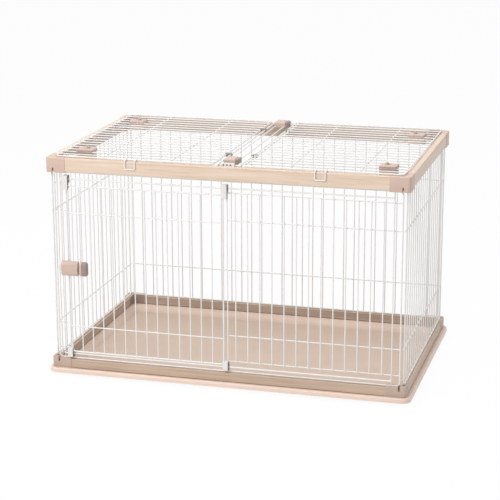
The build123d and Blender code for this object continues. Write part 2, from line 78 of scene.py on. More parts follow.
look = Vector((-math.sin(AZIMUTH) * math.cos(ELEVATION), math.cos(AZIMUTH) * math.cos(ELEVATION),
               -math.sin(ELEVATION)))
level_right = look.cross(Vector((0, 0, 1))).normalized()
level_up = level_right.cross(look)
right = level_right * math.cos(ROLL) + level_up * math.sin(ROLL)
up = level_up * math.cos(ROLL) - level_right * math.sin(ROLL)
lens = bpy.data.cameras.new("photo_camera")
lens.sensor_width = SENSOR_WIDTH
lens.lens = FOCAL_LENGTH
lens.clip_end = FAR_LIMIT
camera = linked("photo_camera", lens)
camera.matrix_world = Matrix((
    (right.x, up.x, -look.x, CAMERA_PLACE[0]),
    (right.y, up.y, -look.y, CAMERA_PLACE[1]),
    (right.z, up.z, -look.z, CAMERA_PLACE[2]),
    (0.0, 0.0, 0.0, 1.0),
))
bpy.context.scene.camera = camera
print("camera at", tuple(camera.matrix_world.translation))

# %% [markdown]
# Shader maths is written as plain Python. `Val` wraps a node's output, and its operators add Math
# nodes.

# %% Shader maths


class Val:
    """A value in a material. Sums, products and the like of such values are values too."""

    def __init__(self, recipe, socket):
        self.recipe, self.socket = recipe, socket

    def _math(self, operation, a, b):
        return self.recipe.node("ShaderNodeMath", {"operation": operation}, {0: a, 1: b})

    def __add__(self, other):
        return self._math("ADD", self, other)

    __radd__ = __add__

    def __sub__(self, other):
        return self._math("SUBTRACT", self, other)

    def __rsub__(self, other):
        return self._math("SUBTRACT", other, self)

    def __mul__(self, other):
        return self._math("MULTIPLY", self, other)

    def __abs__(self):
        return self.recipe.node("ShaderNodeMath", {"operation": "ABSOLUTE"}, {0: self})

    def larger(self, other):
        return self._math("MAXIMUM", self, other)


# %% [markdown]
# A `Recipe` is a material under construction. Its `node` makes any node: the settings are set
# first, then the inputs. The other methods are short names for the nodes that the materials below
# share.

# %% Recipes for materials
FADE = 0.0003


class Recipe:
    """A material under construction."""

    def __init__(self, name):
        self.material = bpy.data.materials.new(name)
        self.material.use_nodes = True
        self.tree = self.material.node_tree
        self.shader = self.tree.nodes["Principled BSDF"]

    def node(self, kind, settings=None, inputs=None, out=0):
        made = self.tree.nodes.new(kind)
        for key, value in (settings or {}).items():
            setattr(made, key, value)
        for key, value in (inputs or {}).items():
            self.feed(made.inputs[key], value)
        return Val(self, made.outputs[out])

    def feed(self, socket, value):
        if isinstance(value, Val):
            self.tree.links.new(value.socket, socket)
        else:
            socket.default_value = value

    def set(self, **inputs):
        for key, value in inputs.items():
            self.feed(self.shader.inputs[key.replace("_", " ")], value)

    def place(self, stretch=(1.0, 1.0, 1.0)):
        """The object's own coordinates, in metres, stretched along the axes."""
        where = self.node("ShaderNodeTexCoord", out="Object")
        return self.node("ShaderNodeMapping", None, {"Vector": where, "Scale": stretch})

    def along(self, where, axis):
        """One coordinate of a place."""
        return self.node("ShaderNodeSeparateXYZ", None, {0: where}, out=axis)

    def noise(self, where, scale, detail=3.0, roughness=0.5):
        return self.node("ShaderNodeTexNoise", None, {"Vector": where, "Scale": scale,
                                                      "Detail": detail, "Roughness": roughness})

    def ramp(self, value, low, high):
        """0 up to the low limit, 1 from the high limit on and a straight line between them."""
        return self.node("ShaderNodeMapRange", None,
                         {"Value": value, "From Min": low, "From Max": high})

    def past(self, value, limit):
        """1 where a coordinate is past the limit, else 0."""
        return self.ramp(value, limit, limit + FADE)

    def blend(self, share, low, high):
        """A colour between two, by a share from 0 to 1."""
        return self.node("ShaderNodeMix", {"data_type": "RGBA"},
                         {0: share, 6: low if isinstance(low, Val) else (*low, 1.0),
                          7: high if isinstance(high, Val) else (*high, 1.0)}, out=2)

    def bump(self, height, strength, distance):
        return self.node("ShaderNodeBump", None,
                         {"Height": height, "Strength": strength, "Distance": distance})


def paint(red, green, blue):
    """A colour named by its screen values from 0 to 255, as the shader's linear values."""
    return tuple((c / 255 / 12.92) if c <= 10 else ((c / 255 + 0.055) / 1.055) ** 2.4
                 for c in (red, green, blue))


# %% [markdown]
# The rails are an extruded profile wrapped in a printed wood film. A film has long fine streaks
# along the rail, a slow drift of tone and hardly any pores, with a satin face. Noise stretched
# along one axis gives streaks. On the faces inside the pen the tone is a deeper grey-brown, which
# is painted shade, so each recipe knows on which axis and how far out its inner face lies. The foot
# rails take a darker copy of the top rails' tones, which is painted shade too. Just above the tray
# a foot rail has a thin dark line, a painted shadow in the gap between rail and tray. The top rails
# are far above that height.

# %% Wood film
TOP_TONES = (paint(217, 190, 166), paint(240, 221, 203), paint(188, 154, 128))
# The foot rails take the top rails' tones made darker, as painted shade.
FOOT_SHADED_TONES = (paint(184, 157, 135), paint(214, 192, 173), paint(152, 123, 101))
# Deeper grey-brown for the rails' faces inside the pen: painted shade.
INNER_SHADE_TONES = (paint(172, 152, 136), paint(200, 182, 167))
LONG_INNER, SHORT_INNER = 0.2812, 0.4462
# A thin dark line just above the tray: a painted shadow in the gap between foot rail and tray.
SEAT_SHADOW_HEIGHT, SEAT_SHADOW_TONE = 0.0215, paint(128, 104, 88)
ALONG_X, ALONG_Y = (0.035, 1.0, 1.0), (1.0, 0.035, 1.0)
# Scale, detail and roughness of the three noises, and how much each counts in the tone
FIBRE, BAND, DRIFT = (260.0, 5.0, 0.62), (60.0, 2.0, 0.5), (5.0, 1.0)
FIBRE_SHARE, BAND_SHARE, DRIFT_SHARE = 0.55, 0.35, 0.10
TONE_RANGE, LINE_RANGE, LINE_SHARE = (0.36, 0.64), (0.60, 0.72), 0.35


def wood_film(name, stretch, axis, inner, tones):
    deep, pale, line = tones
    film = Recipe(name)
    fibre = film.noise(film.place(stretch), *FIBRE)
    band = film.noise(film.place(stretch), *BAND)
    drift = film.noise(film.place(), *DRIFT)
    tone = film.ramp(fibre * FIBRE_SHARE + band * BAND_SHARE + drift * DRIFT_SHARE, *TONE_RANGE)
    dark_line = film.ramp(fibre, *LINE_RANGE)
    wrapped = film.blend(dark_line * LINE_SHARE, film.blend(tone, deep, pale), line)
    # Painted shade on the faces inside the pen.
    inner_shade = film.blend(tone, *INNER_SHADE_TONES)
    outer = film.past(abs(film.along(film.place(), axis)), inner)
    rail = film.blend(outer, inner_shade, wrapped)
    # Painted shadow along the foot of the rail.
    above_seat_shadow = film.past(film.along(film.place(), "Z"), SEAT_SHADOW_HEIGHT)
    film.set(Base_Color=film.blend(above_seat_shadow, SEAT_SHADOW_TONE, rail),
             Roughness=0.38 + tone * 0.10,
             Specular_IOR_Level=0.42,
             Normal=film.bump(fibre, strength=0.12, distance=0.0004))
    return film.material


wood_top_long = wood_film("rail_wood_top_long", ALONG_X, "Y", LONG_INNER, TOP_TONES)
wood_top_short = wood_film("rail_wood_top_short", ALONG_Y, "X", SHORT_INNER, TOP_TONES)
wood_foot_long = wood_film("rail_wood_foot_long", ALONG_X, "Y", LONG_INNER, FOOT_SHADED_TONES)
wood_foot_short = wood_film("rail_wood_foot_short", ALONG_Y, "X", SHORT_INNER, FOOT_SHADED_TONES)
print("wood films made")

# %% [markdown]
# Corner pieces, locks and clips are moulded plastic in close tones. Injection moulding leaves a
# very fine spark-eroded grain, a faint cloudiness from the flow, and a softer gloss than the film.
# A painted shade can lie on a part of a moulding: on the faces inside the pen the corners take the
# same deeper grey-brown as the rails. The foot corners take a darker copy of the top corners'
# tones, which is painted shade too.

# %% Moulded plastics
CORNER_INNER_X, CORNER_INNER_Y = 0.4452, 0.2802
# Painted shade on the corners' faces inside the pen.
CORNER_INSIDE_SHADE = paint(160, 142, 130)
CLOUD, CLOUD_GLOSS = (14.0, 3.0), 0.08
PEBBLE, PEBBLE_STRENGTH, PEBBLE_HEIGHT = (2.0, 0.6), 0.35, 0.00006
FINE_GRAIN, FINE_GLOSS, SLEEK_GLOSS = 1100.0, 0.36, 0.34


def moulded(name, low, high, grain=900.0, gloss=0.42, shade_mask=None, painted_shade_tone=None):
    plastic = Recipe(name)
    where = plastic.place()
    cloud = plastic.noise(where, *CLOUD)
    pebble = plastic.noise(where, grain, *PEBBLE)
    colour = plastic.blend(cloud, low, high)
    if shade_mask:
        colour = plastic.blend(shade_mask(plastic, where), colour, painted_shade_tone)
    plastic.set(Base_Color=colour,
                Roughness=gloss + cloud * CLOUD_GLOSS,
                Normal=plastic.bump(pebble, PEBBLE_STRENGTH, PEBBLE_HEIGHT))
    return plastic.material


def inside_pen(plastic, where):
    """1 on the faces that look into the pen, else 0."""
    return 1.0 - plastic.past(abs(plastic.along(where, "X")), CORNER_INNER_X).larger(
        plastic.past(abs(plastic.along(where, "Y")), CORNER_INNER_Y))


# The corners carry painted shade on their faces inside the pen.
corner_plastic = moulded("corner_moulding_plastic", paint(209, 181, 166), paint(220, 193, 178),
                         shade_mask=inside_pen, painted_shade_tone=CORNER_INSIDE_SHADE)
# The foot corners take the top corners' tones made darker, as painted shade.
foot_plastic = moulded("foot_corner_plastic", paint(188, 165, 150), paint(200, 177, 162),
                       shade_mask=inside_pen, painted_shade_tone=CORNER_INSIDE_SHADE)
latch_plastic = moulded("latch_plastic", paint(200, 175, 163), paint(212, 188, 176),
                        FINE_GRAIN, FINE_GLOSS)
grip_plastic = moulded("grip_plastic", paint(150, 132, 124), paint(166, 147, 138),
                       FINE_GRAIN, FINE_GLOSS)
white_plastic = moulded("white_clip_plastic", paint(226, 226, 228), paint(236, 236, 237),
                        FINE_GRAIN, SLEEK_GLOSS)
hinge_plastic = moulded("hinge_clip_plastic", paint(132, 126, 122), paint(150, 144, 140),
                        FINE_GRAIN, SLEEK_GLOSS)

# %% [markdown]
# The door's gliders are pale in front, with a painted shade on the side that faces right, where the
# photograph shows a dark mark beside three of the four. Two steps lie just inside the right-hand
# side of the gliders, one for those at the door's left edge and one for those at its right edge. A
# third step in the middle of the door ends the first.

# %% Gliders of the door
LEFT_EDGE_SIDE, DOOR_MIDDLE, RIGHT_EDGE_SIDE = -0.4075, -0.2, 0.0095


def shaded_right_side(plastic, where):
    """1 on the right-hand side of each glider, else 0."""
    across = plastic.along(where, "X")
    at_left_edge = plastic.past(across, LEFT_EDGE_SIDE) - plastic.past(across, DOOR_MIDDLE)
    return at_left_edge + plastic.past(across, RIGHT_EDGE_SIDE)


# Painted shade on the side of each glider that faces right.
clip_plastic = moulded("door_clip_plastic", paint(230, 225, 223), paint(238, 234, 232),
                       FINE_GRAIN, FINE_GLOSS, shade_mask=shaded_right_side, painted_shade_tone=paint(112, 104, 103))

# %% [markdown]
# The tray is one vacuum-formed sheet. Its floor is matt from use and painted a little deeper in
# tone as shade, while the rolled lip outside the rails keeps the sheet's glossier skin and is
# painted paler as light, and the slope between them is halfway. The steps follow the place on the
# tray, so they are worked out from the object's own coordinates.

# %% Tray
TRAY_HALF_X, TRAY_HALF_Y = 0.465, 0.300
LIP_FROM = 0.97
SLOPE_RANGE, SLOPE_SHARE = (0.004, 0.012), 0.45
TRAY_CLOUD, TRAY_PEBBLE = (11.0, 3.0), (700.0, 2.0, 0.6)
SCUFF_STRETCH, SCUFF, SCUFF_RANGE = (0.25, 1.0, 1.0), (90.0, 4.0, 0.7), (0.58, 0.75)


def tray_sheet(name):
    sheet = Recipe(name)
    where = sheet.place((1.0 / TRAY_HALF_X, 1.0 / TRAY_HALF_Y, 1.0))
    edge = abs(sheet.along(where, "X")).larger(abs(sheet.along(where, "Y")))
    lip = sheet.ramp(edge, LIP_FROM, 1.0)
    even = sheet.place()
    cloud = sheet.noise(even, *TRAY_CLOUD)
    pebble = sheet.noise(even, *TRAY_PEBBLE)
    scuff = sheet.ramp(sheet.noise(sheet.place(SCUFF_STRETCH), *SCUFF), *SCUFF_RANGE)
    # Painted shade on the floor and painted light on the lip: the floor is deeper in tone than the
    # lip.
    shaded_floor_tone = sheet.blend(cloud, paint(205, 183, 166), paint(217, 195, 178))
    lit_lip_tone = sheet.blend(cloud, paint(234, 210, 195), paint(243, 220, 205))
    slope = sheet.ramp(sheet.along(even, "Z"), *SLOPE_RANGE)
    tone = sheet.blend(lip.larger(slope * SLOPE_SHARE), shaded_floor_tone, lit_lip_tone)
    sheet.set(Base_Color=sheet.blend(scuff * 0.18, tone, paint(232, 214, 200)),
              Roughness=0.50 - lip * 0.10 + scuff * 0.08,
              Normal=sheet.bump(pebble + scuff * 0.4, strength=0.35, distance=0.0001))
    return sheet.material


tray_plastic = tray_sheet("tray_sheet")

# %% [markdown]
# The wires are welded steel with a white powder coat. The powder melts to a thick glossy skin with
# slight orange peel, so the bump is soft and larger than plastic grain. A thin clear coat gives the
# sharp line of light that runs along each wire.

# %% Powder coat
PEEL, COAT_DRIFT = (420.0, 2.0, 0.45), (9.0, 2.0)


def powder_coat(name):
    coat = Recipe(name)
    where = coat.place()
    peel = coat.noise(where, *PEEL)
    drift = coat.noise(where, *COAT_DRIFT)
    coat.set(Base_Color=coat.blend(drift, paint(232, 231, 230), paint(242, 241, 239)),
             Roughness=0.30 + peel * 0.10,
             Coat_Weight=0.35,
             Coat_Roughness=0.12,
             Normal=coat.bump(peel, strength=0.30, distance=0.00012))
    return coat.material


white_wire = powder_coat("white_powder_coat")

# %% [markdown]
# The latch pin and the roof bolts are drawn steel, with fine lines along them. A bolt's knob stands
# above the locks and is a moulding, so the metal stops at that height.

# %% Steel
KNOB_FROM = 0.5882
DRAWN_STRETCH, DRAWN = (0.06, 1.0, 1.0), (1500.0, 3.0)


def drawn_steel(name, knob_from):
    """Bright drawn steel, with a moulded knob above a height."""
    metal = Recipe(name)
    lines = metal.noise(metal.place(DRAWN_STRETCH), *DRAWN)
    knob = metal.past(metal.along(metal.place(), "Z"), knob_from)
    bright = metal.blend(lines, paint(168, 168, 170), paint(206, 206, 208))
    metal.set(Base_Color=metal.blend(knob, bright, paint(198, 173, 160)),
              Roughness=0.22 + lines * 0.16 + knob * 0.14,
              Metallic=1.0 - knob,
              Normal=metal.bump(lines, strength=0.2, distance=0.00004))
    return metal.material


steel = drawn_steel("drawn_steel", KNOB_FROM)

# %% [markdown]
# Each CAD node takes its finish by the start of its name. The node's mesh isn't touched: only its
# material is set.

# %% Dress the CAD nodes
FINISHES = (
    (("top_rail_front", "top_rail_back"), wood_top_long),
    (("top_rail_left", "top_rail_right"), wood_top_short),
    (("foot_rail_front", "foot_rail_back"), wood_foot_long),
    (("foot_rail_left", "foot_rail_right"), wood_foot_short),
    (("floor_tray",), tray_plastic),
    (("top_corner",), corner_plastic),
    (("foot_corner",), foot_plastic),
    (("latch_housing", "roof_lock", "centre_latch"), latch_plastic),
    (("latch_pull", "centre_pull"), grip_plastic),
    (("latch_pin", "roof_bolt"), steel),
    (("latch_hook", "centre_saddle"), white_plastic),
    (("door_clips",), clip_plastic),
    (("hinge_clips",), hinge_plastic),
)


def finish_of(name):
    """What has no line of its own is wire."""
    for starts, material in FINISHES:
        if name.startswith(starts):
            return material
    return white_wire


for name, node in nodes.items():
    node.data.materials.clear()
    node.data.materials.append(finish_of(name))
print("dressed", len(nodes), "nodes")

# %% [markdown]
# The wire panels follow a rule: a bent frame wire, uprights at an even pitch and bands across them.
# The centre lines are drawn as edges in plain Python, in millimetres, with the same sizes as the
# CAD model. On a panel, u runs across, v runs up or back, and w is the distance outwards from the
# frame wire's plane. Wires that cross lie one layer apart, so that they touch.

# %% Centre lines of a panel
WIRE_BEND, BEND_STEPS = 9.0, 6
FRAME_R, GRID_R = 2.0, 1.5
LAYER = FRAME_R + GRID_R


class Lines:
    """Centre lines and crossings of one panel, in millimetres."""

    def __init__(self, place):
        self.place = place
        self.runs = {FRAME_R: [], GRID_R: []}
        self.welds = []

    def run(self, radius, *points, closed=False):
        self.runs[radius].append(([self.place(*p) for p in points], closed))

    def weld(self, *point):
        self.welds.append(self.place(*point))

    def upright(self, u, low, high, w=0.0):
        """A grid wire between two frame wires, with a weld on each end."""
        self.run(GRID_R, (u, low, w), (u, high, w))
        self.weld(u, low, w)
        self.weld(u, high, w)

    def loop(self, u0, u1, v0, v1):
        """The frame wire with its four quarter bends."""
        bend = WIRE_BEND
        points = []
        for u, v, start in ((u1 - bend, v1 - bend, 0), (u0 + bend, v1 - bend, 90),
                            (u0 + bend, v0 + bend, 180), (u1 - bend, v0 + bend, 270)):
            for step in range(BEND_STEPS + 1):
                turn = math.radians(start + 90 * step / BEND_STEPS)
                points.append((u + bend * math.cos(turn), v + bend * math.sin(turn), 0.0))
        self.run(FRAME_R, *points, closed=True)


def spread(first, last, count):
    """Even places between two ends."""
    step = (last - first) / (count + 1)
    return [first + step * (k + 1) for k in range(count)]


# %% [markdown]
# The back and side walls are one loop each, with uprights between its foot and head and two bands
# on the inner side.

# %% Back and side walls
LONG_HALF, SHORT_HALF = 446.0, 283.0
LONG_COUNT, SHORT_COUNT = 29, 17
LONG_PLANE, SHORT_PLANE = 290.0, 455.0
WALL_FOOT, WALL_HEAD = 46.0, 538.0
BANDS = (139.5, 438.0)


def wall(place, half_span, count):
    lines = Lines(place)
    lines.loop(-half_span, half_span, WALL_FOOT, WALL_HEAD)
    uprights = spread(-half_span, half_span, count)
    for u in uprights:
        lines.upright(u, WALL_FOOT + FRAME_R, WALL_HEAD - FRAME_R)
    for v in BANDS:
        lines.run(GRID_R, (-half_span, v, -LAYER), (half_span, v, -LAYER))
        for u in (-half_span, *uprights, half_span):
            lines.weld(u, v, -LAYER / 2)
    return lines


# %% [markdown]
# The front has a doorway in its left half. Two guide wires for the door run over the whole width in
# front of two posts. The right half is a fixed grid between its own foot and head bands.

# %% Front wall
POSTS = (-431.0, 425.0)
GUIDES, GUIDE_WELD = (58.5, 521.0), 1.6
JAMBS = (-415.0, 7.6)
FIXED_FIRST, FIXED_PITCH, FIXED_COUNT = 28.5, 31.0, 13
FIXED_BANDS = (72.0, *BANDS, 507.5)


def front_lines():
    lines = Lines(lambda u, v, w: (u, -LONG_PLANE - w, v))
    lines.loop(-LONG_HALF, LONG_HALF, WALL_FOOT, WALL_HEAD)
    for u in POSTS:
        lines.upright(u, WALL_FOOT + FRAME_R, WALL_HEAD - FRAME_R)
    for v in GUIDES:
        lines.run(FRAME_R, (POSTS[0], v, LAYER), (POSTS[1], v, LAYER))
        for u in POSTS:
            lines.weld(u, v, GUIDE_WELD)
    fixed = [FIXED_FIRST + FIXED_PITCH * k for k in range(FIXED_COUNT)]
    foot, head = FIXED_BANDS[0] - GRID_R, FIXED_BANDS[-1] + GRID_R
    for u in (*JAMBS, *fixed):
        lines.run(GRID_R, (u, foot, 0.0), (u, head, 0.0))
    for v in FIXED_BANDS:
        lines.run(GRID_R, (JAMBS[1] - GRID_R, v, -LAYER), (LONG_HALF, v, -LAYER))
        lines.run(GRID_R, (-LONG_HALF, v, -LAYER), (JAMBS[0] + GRID_R, v, -LAYER))
        for u in (-LONG_HALF, POSTS[0], *JAMBS, *fixed, POSTS[1], LONG_HALF):
            lines.weld(u, v, -LAYER / 2)
    return lines


# %% [markdown]
# The door is a smaller loop of its own, just in front of the wall, with its bands on the outer
# side.

# %% Door
DOOR_LEFT, DOOR_RIGHT, DOOR_FOOT, DOOR_HEAD = -409.0, -2.0, 65.0, 503.5
DOOR_PLANE, DOOR_COUNT, DOOR_BANDS = 295.0, 13, (134.6, 433.8)
DOOR_GRID, DOOR_WELD = 0.5, 2.1


def door_lines():
    lines = Lines(lambda u, v, w: (u, -DOOR_PLANE - w, v))
    lines.loop(DOOR_LEFT, DOOR_RIGHT, DOOR_FOOT, DOOR_HEAD)
    uprights = spread(DOOR_LEFT, DOOR_RIGHT, DOOR_COUNT)
    for u in uprights:
        lines.upright(u, DOOR_FOOT + FRAME_R, DOOR_HEAD - FRAME_R, DOOR_GRID)
    for v in DOOR_BANDS:
        lines.run(GRID_R, (DOOR_LEFT, v, LAYER), (DOOR_RIGHT, v, LAYER))
        for u in (DOOR_LEFT, *uprights, DOOR_RIGHT):
            lines.weld(u, v, DOOR_WELD)
    return lines


# %% [markdown]
# The roof is two lifting halves and a fixed strip between them. A half's rows lie on top of its
# loop and reach to the outside of it, with two wires across under the rows. The strip is four long
# wires on two short ones.

# %% Roof
ROOF_PLANE, ROOF_HALF = 577.5, 286.0
ROW_PITCH, ROWS_EACH_SIDE = 30.5, 9
LEFT_ROOF, LEFT_CROSS = (-440.0, -29.0), (-318.0, -140.0)
RIGHT_ROOF, RIGHT_CROSS = (50.0, 446.0), (165.0, 338.0)
CROSS_RISE, ROW_WELD, CROSS_WELD = 0.5, 1.8, 2.0
STRIP_EDGES, STRIP_INNER, STRIP_BARS = (-17.0, 41.0), (-4.0, 20.0), (-277.0, 277.0)
STRIP_INNER_DROP, STRIP_WELD = 0.5, 2.0


def roof_lines(low, high, cross):
    lines = Lines(lambda u, v, w: (u, v, ROOF_PLANE + w))
    lines.loop(low, high, -ROOF_HALF, ROOF_HALF)
    rows = [k * ROW_PITCH for k in range(-ROWS_EACH_SIDE, ROWS_EACH_SIDE + 1)]
    for v in rows:
        lines.run(GRID_R, (low - FRAME_R, v, LAYER), (high + FRAME_R, v, LAYER))
        for u in (low, high):
            lines.weld(u, v, ROW_WELD)
    inner = ROOF_HALF - FRAME_R
    for u in cross:
        lines.run(GRID_R, (u, -inner, CROSS_RISE), (u, inner, CROSS_RISE))
        for v in rows:
            lines.weld(u, v, CROSS_WELD)
    return lines


def strip_lines():
    lines = Lines(lambda u, v, w: (u, v, ROOF_PLANE + w))
    for u in STRIP_EDGES:
        lines.run(FRAME_R, (u, -ROOF_HALF, 0.0), (u, ROOF_HALF, 0.0))
    for u in STRIP_INNER:
        lines.run(GRID_R, (u, -ROOF_HALF, -STRIP_INNER_DROP), (u, ROOF_HALF, -STRIP_INNER_DROP))
    bar_from, bar_to = STRIP_EDGES[0] - FRAME_R, STRIP_EDGES[1] + FRAME_R
    for v in STRIP_BARS:
        lines.run(GRID_R, (bar_from, v, -LAYER), (bar_to, v, -LAYER))
        for u in (STRIP_EDGES[0], *STRIP_INNER, STRIP_EDGES[1]):
            lines.weld(u, v, -STRIP_WELD)
    return lines


# %% [markdown]
# A Geometry Nodes tree turns the edges into round wire: Curve to Mesh carries a circle along them.
# A second tree sets a small fused bead on each crossing, as resistance welding leaves there. The
# beads are spheres instanced on points, each a little larger or smaller by a seeded random value.
# Both trees have named inputs for their sizes.

# %% Two Geometry Nodes trees
BEAD_SEGMENTS, BEAD_RINGS = 10, 6
BEAD_RANGE = (0.88, 1.0)


def new_tree(name, inputs):
    """An empty tree with a geometry in and out and the named inputs."""
    tree = bpy.data.node_groups.new(name, "GeometryNodeTree")
    tree.interface.new_socket("Geometry", in_out="INPUT", socket_type="NodeSocketGeometry")
    for label, kind in inputs:
        tree.interface.new_socket(label, in_out="INPUT", socket_type=kind)
    tree.interface.new_socket("Geometry", in_out="OUTPUT", socket_type="NodeSocketGeometry")
    return tree, tree.nodes.new("NodeGroupInput"), tree.nodes.new("NodeGroupOutput")


def chain_end(tree, shape, output, material):
    """Every tree ends the same way: real geometry, smooth faces and one material."""
    real = tree.nodes.new("GeometryNodeRealizeInstances")
    rounded = tree.nodes.new("GeometryNodeSetShadeSmooth")
    painted = tree.nodes.new("GeometryNodeSetMaterial")
    painted.inputs["Material"].default_value = material
    tree.links.new(shape, real.inputs[0])
    tree.links.new(real.outputs[0], rounded.inputs[0])
    tree.links.new(rounded.outputs[0], painted.inputs[0])
    tree.links.new(painted.outputs[0], output.inputs[0])


def round_wire_tree():
    tree, given, output = new_tree("round_wire", (("Wire radius", "NodeSocketFloat"),
                                                  ("Sides", "NodeSocketInt")))
    circle = tree.nodes.new("GeometryNodeCurvePrimitiveCircle")
    path = tree.nodes.new("GeometryNodeMeshToCurve")
    tube = tree.nodes.new("GeometryNodeCurveToMesh")
    tube.inputs["Fill Caps"].default_value = True
    tree.links.new(given.outputs["Wire radius"], circle.inputs["Radius"])
    tree.links.new(given.outputs["Sides"], circle.inputs["Resolution"])
    tree.links.new(given.outputs["Geometry"], path.inputs["Mesh"])
    tree.links.new(path.outputs[0], tube.inputs["Curve"])
    tree.links.new(circle.outputs["Curve"], tube.inputs["Profile Curve"])
    chain_end(tree, tube.outputs[0], output, white_wire)
    return tree


def weld_bead_tree():
    tree, given, output = new_tree("weld_beads", (("Bead radius", "NodeSocketFloat"),
                                                  ("Seed", "NodeSocketInt")))
    ball = tree.nodes.new("GeometryNodeMeshUVSphere")
    ball.inputs["Segments"].default_value = BEAD_SEGMENTS
    ball.inputs["Rings"].default_value = BEAD_RINGS
    size = tree.nodes.new("FunctionNodeRandomValue")
    size.data_type = "FLOAT"
    for label, limit in zip(("Min", "Max"), BEAD_RANGE):
        number = [i for i in size.inputs if i.name == label and i.type == "VALUE"][0]
        number.default_value = limit
    put = tree.nodes.new("GeometryNodeInstanceOnPoints")
    tree.links.new(given.outputs["Bead radius"], ball.inputs["Radius"])
    tree.links.new(given.outputs["Seed"], size.inputs["Seed"])
    tree.links.new(given.outputs["Geometry"], put.inputs["Points"])
    tree.links.new(ball.outputs["Mesh"], put.inputs["Instance"])
    value = [o for o in size.outputs if o.type == "VALUE"][0]
    tree.links.new(value, put.inputs["Scale"])
    chain_end(tree, put.outputs[0], output, white_wire)
    return tree


wire_tree = round_wire_tree()
bead_tree = weld_bead_tree()

# %% [markdown]
# A tree runs on a mesh of plain points and edges. The finished mesh is taken from it, and the
# carrier with its modifier is removed, so that every piece ends as a plain object.

# %% From lines to pieces
WIRE_SIDES = 14
BEAD_SIZE = 0.00195
BEAD_SEED = 11


def grown(name, points, edges, tree, **sizes):
    """Runs a tree on plain points and edges and gives back the finished mesh."""
    seed_mesh = bpy.data.meshes.new(name)
    seed_mesh.from_pydata(points, edges, [])
    holder = linked(name, seed_mesh)
    modifier = holder.modifiers.new("grow", "NODES")
    modifier.node_group = tree
    for item in tree.interface.items_tree:
        if item.in_out == "INPUT" and item.name.replace(" ", "_") in sizes:
            modifier[item.identifier] = sizes[item.name.replace(" ", "_")]
    done = final_mesh(holder)
    bpy.data.objects.remove(holder)
    return done


def joined(name, meshes, material):
    """One plain object from several finished meshes."""
    whole = bmesh.new()
    for mesh in meshes:
        whole.from_mesh(mesh)
    result = bpy.data.meshes.new(name)
    whole.to_mesh(result)
    whole.free()
    smooth(result)
    result.materials.append(material)
    return linked(name, result)


def wire_piece(name, lines, body, node):
    """Round wires and their weld beads, in place of one CAD panel."""
    meshes = []
    for radius, runs in lines.runs.items():
        points, edges = [], []
        for run, closed in runs:
            first = len(points)
            points += [tuple(c * MM for c in p) for p in run]
            edges += [(first + k, first + k + 1) for k in range(len(run) - 1)]
            if closed:
                edges.append((len(points) - 1, first))
        meshes.append(grown(name, points, edges, wire_tree, Wire_radius=radius * MM,
                            Sides=WIRE_SIDES))
    welds = [tuple(c * MM for c in p) for p in lines.welds]
    meshes.append(grown(name, welds, [], bead_tree, Bead_radius=BEAD_SIZE, Seed=BEAD_SEED))
    piece = joined(name, meshes, white_wire)
    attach(piece, body)
    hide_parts(node)
    print(name, len(piece.data.polygons), "faces")


# %% [markdown]
# Each panel has its own turn of the plane: the back and side walls are the same drawing, carried to
# their places.

# %% Eight wire pieces
back_wall = wall(lambda u, v, w: (-u, LONG_PLANE + w, v), LONG_HALF, LONG_COUNT)
left_wall = wall(lambda u, v, w: (-SHORT_PLANE - w, -u, v), SHORT_HALF, SHORT_COUNT)
right_wall = wall(lambda u, v, w: (SHORT_PLANE + w, u, v), SHORT_HALF, SHORT_COUNT)
roof_left = roof_lines(*LEFT_ROOF, LEFT_CROSS)
roof_right = roof_lines(*RIGHT_ROOF, RIGHT_CROSS)
wire_piece("front_wires", front_lines(), "root", "front_panel")
wire_piece("back_wires", back_wall, "root", "back_panel")
wire_piece("left_wires", left_wall, "root", "left_panel")
wire_piece("right_wires", right_wall, "root", "right_panel")
wire_piece("door_wires", door_lines(), "front_door", "door_panel")
wire_piece("roof_wires_left", roof_left, "roof_left", "roof_grid_left")
wire_piece("roof_wires_right", roof_right, "roof_right", "roof_grid_right")
wire_piece("roof_strip_wires", strip_lines(), "root", "roof_centre_wires")

# %% [markdown]
# A mould's edges are never sharp: each has a radius of a few tenths of a millimetre that catches a
# thin line of light. The corners, locks, latches and clips are therefore copied from the CAD mesh,
# their loose triangles are merged to clean faces, and a Bevel modifier rounds every edge a little.

# %% Softened mouldings
SOFT_ANGLE = math.radians(32)
FLAT_ANGLE = math.radians(0.6)
SAME_PLACE = 0.000002
LARGE_EDGE, CENTRE_EDGE, LOCK_EDGE, SMALL_EDGE = 0.5, 0.4, 0.35, 0.3


def bevelled(piece, width, segments):
    """Rounds the sharp edges of an object's mesh, by a width in millimetres."""
    bevel = piece.modifiers.new("edge", "BEVEL")
    bevel.width = width * MM
    bevel.segments = segments
    bevel.limit_method = "ANGLE"
    bevel.angle_limit = SOFT_ANGLE
    bevel.harden_normals = True
    bevel.use_clamp_overlap = True
    done = final_mesh(piece)
    piece.modifiers.clear()
    piece.data = done


def soften(node, body, width):
    """A copy of a moulded CAD node with its edges rounded by a width in millimetres."""
    clean = bmesh.new()
    clean.from_mesh(nodes[node].data)
    bmesh.ops.remove_doubles(clean, verts=clean.verts, dist=SAME_PLACE)
    bmesh.ops.dissolve_limit(clean, angle_limit=FLAT_ANGLE, verts=clean.verts, edges=clean.edges)
    shape = bpy.data.meshes.new(node + "_soft")
    clean.to_mesh(shape)
    clean.free()
    smooth(shape)
    piece = linked(node + "_soft", shape)
    bevelled(piece, width, segments=2)
    piece.data.materials.clear()
    piece.data.materials.append(finish_of(node))
    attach(piece, body)
    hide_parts(node)


